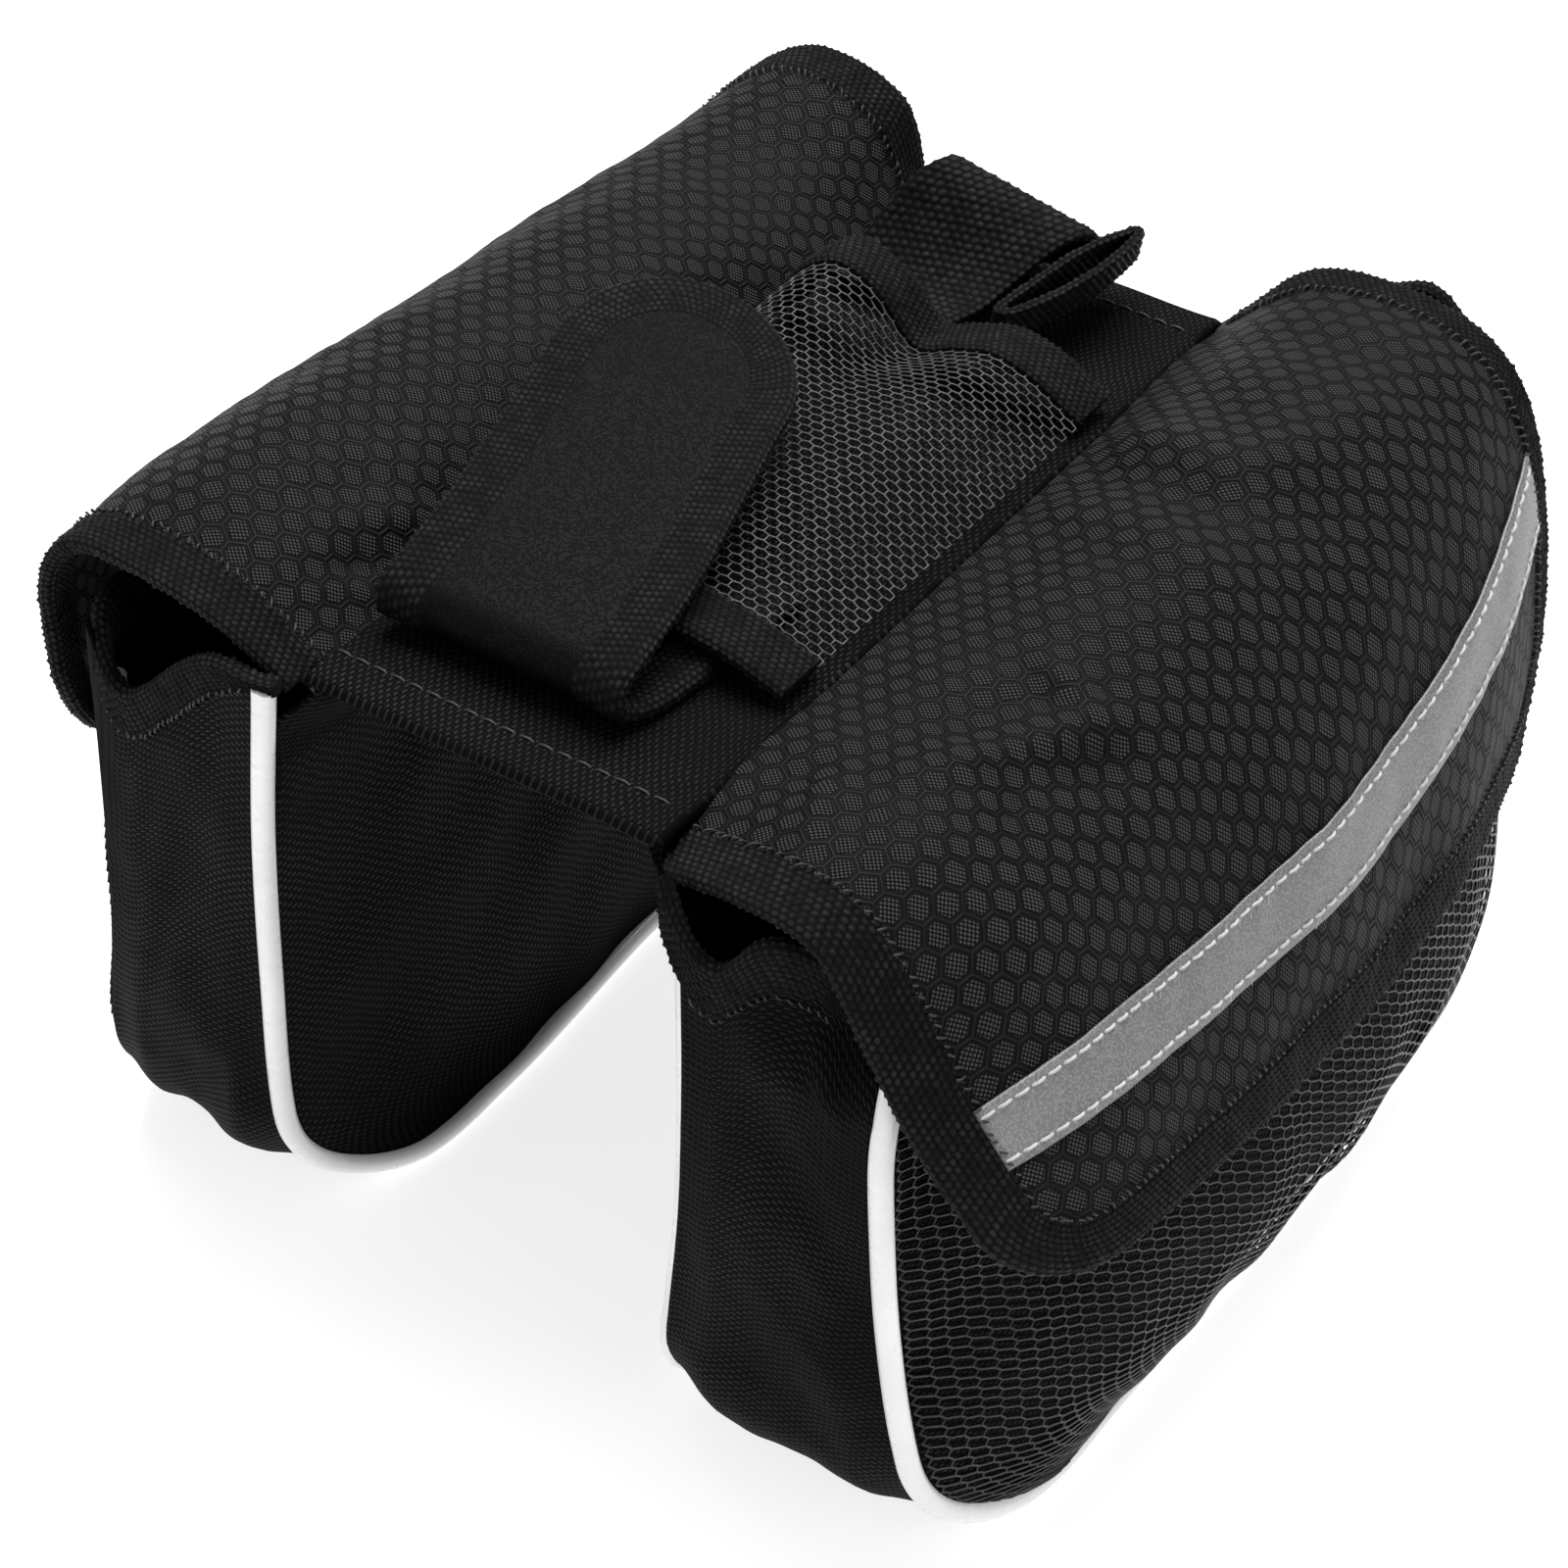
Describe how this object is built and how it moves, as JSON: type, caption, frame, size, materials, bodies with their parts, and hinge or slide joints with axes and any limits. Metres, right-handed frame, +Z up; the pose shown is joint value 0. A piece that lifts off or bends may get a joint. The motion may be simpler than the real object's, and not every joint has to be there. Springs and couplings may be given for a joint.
{
  "type": "bicycle frame bag",
  "caption": "Soft double pouch bag that hangs over a bicycle's top tube, with flaps, net fronts and a net pocket on its bridge.",
  "frame": {"origin": "centre of the bag's footprint, at the height of the surface that it stands on", "axes": "+X across the bicycle's top tube, +Y along the tube towards the end with the strap and loop, +Z up"},
  "size_m": [0.1901, 0.1661, 0.1282],
  "materials": {
    "black_cloth": "matt woven nylon",
    "patterned_cloth": "patterned woven nylon",
    "black_webbing": "coarse woven tape",
    "dark_net": "knotted net",
    "white_piping": "glossy white",
    "grey_reflective": "silver grey film",
    "tongue_leather": "fine grained"
  },
  "bodies": {
    "root": {"bridge": "black_cloth", "pocket_net": "dark_net", "pocket_near_binding": "black_webbing", "pocket_far_binding": "black_webbing", "tongue_panel": "tongue_leather", "tongue_binding": "black_webbing", "rear_strap": "black_webbing", "rear_loop": "black_webbing", "left_gusset": "black_cloth", "left_inner_panel": "black_cloth", "left_outer_panel": "black_cloth", "left_net_front": "dark_net", "left_inner_piping": "white_piping", "left_outer_piping": "white_piping", "left_mouth_binding": "black_webbing", "left_flap": "patterned_cloth", "left_flap_binding": "black_webbing", "left_reflective_strip": "grey_reflective", "right_gusset": "black_cloth", "right_inner_panel": "black_cloth", "right_outer_panel": "black_cloth", "right_net_front": "dark_net", "right_inner_piping": "white_piping", "right_outer_piping": "white_piping", "right_mouth_binding": "black_webbing", "right_flap": "patterned_cloth", "right_flap_binding": "black_webbing", "right_reflective_strip": "grey_reflective"}
  },
  "joints": []
}
